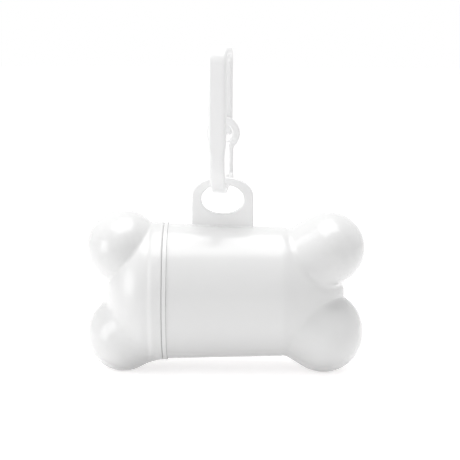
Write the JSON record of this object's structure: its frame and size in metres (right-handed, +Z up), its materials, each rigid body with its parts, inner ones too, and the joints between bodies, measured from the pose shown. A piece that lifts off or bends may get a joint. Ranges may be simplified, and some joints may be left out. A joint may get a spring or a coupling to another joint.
{
  "type": "dog poop bag dispenser",
  "caption": "Bone-shaped hollow bag dispenser with a screw cap, a side slot for the bags, an eyelet tab on top and a gated hook clip through the eyelet.",
  "frame": {"origin": "centre of the bounding box, on the surface that the dispenser stands on", "axes": "+X along the bone from the screw cap to the fixed end, +Y towards the dispensing slot, +Z up towards the clip"},
  "size_m": [0.0844, 0.042, 0.0983],
  "materials": {
    "shell_plastic": "glossy moulded white plastic",
    "clip_plastic": "satin-gloss moulded white plastic",
    "cardboard": "matt wound cardboard",
    "bag_film": "thin pale plastic film, satin"
  },
  "bodies": {
    "body": {"tube": "shell_plastic", "fixed_end": "shell_plastic", "bag_tail": "bag_film"},
    "ring": {"neck_ring": "shell_plastic"},
    "cap": {"cap_shell": "shell_plastic", "cap_sleeve": "shell_plastic"},
    "roll": {"roll_core": "cardboard", "bag_roll": "bag_film"},
    "clip": {"clip_frame": "clip_plastic"},
    "gate": {"clip_gate": "clip_plastic", "gate_pin": "clip_plastic"}
  },
  "joints": [
    {"name": "cap_turn", "type": "hinge", "parent": "body", "child": "ring", "pos_m": [-0.018, 0, 0.0241], "axis": [-1, 0, 0], "range_deg": [0, 360]},
    {"name": "cap_travel", "type": "slide", "parent": "ring", "child": "cap", "axis": [-1, 0, 0], "range_m": [0, 0.01201]},
    {"name": "roll_spin", "type": "hinge", "parent": "body", "child": "roll", "pos_m": [-0.00165, 0, 0.02165], "axis": [1, 0, 0], "continuous": true},
    {"name": "clip_swing", "type": "hinge", "parent": "body", "child": "clip", "pos_m": [-0.00185, 0, 0.0524], "axis": [0.0872, 0.9962, 0], "range_deg": [-90, 90]},
    {"name": "gate_open", "type": "hinge", "parent": "clip", "child": "gate", "pos_m": [-0.00124, 0.00698, 0.05765], "axis": [0.9962, -0.0872, 0], "range_deg": [0, 35], "stiffness_Nm_per_rad": 0.02, "springref_deg": -5.73}
  ],
  "couplings": [
    {"joint": "cap_travel", "follows": "cap_turn", "m_per_rad": 0.0019099}
  ]
}
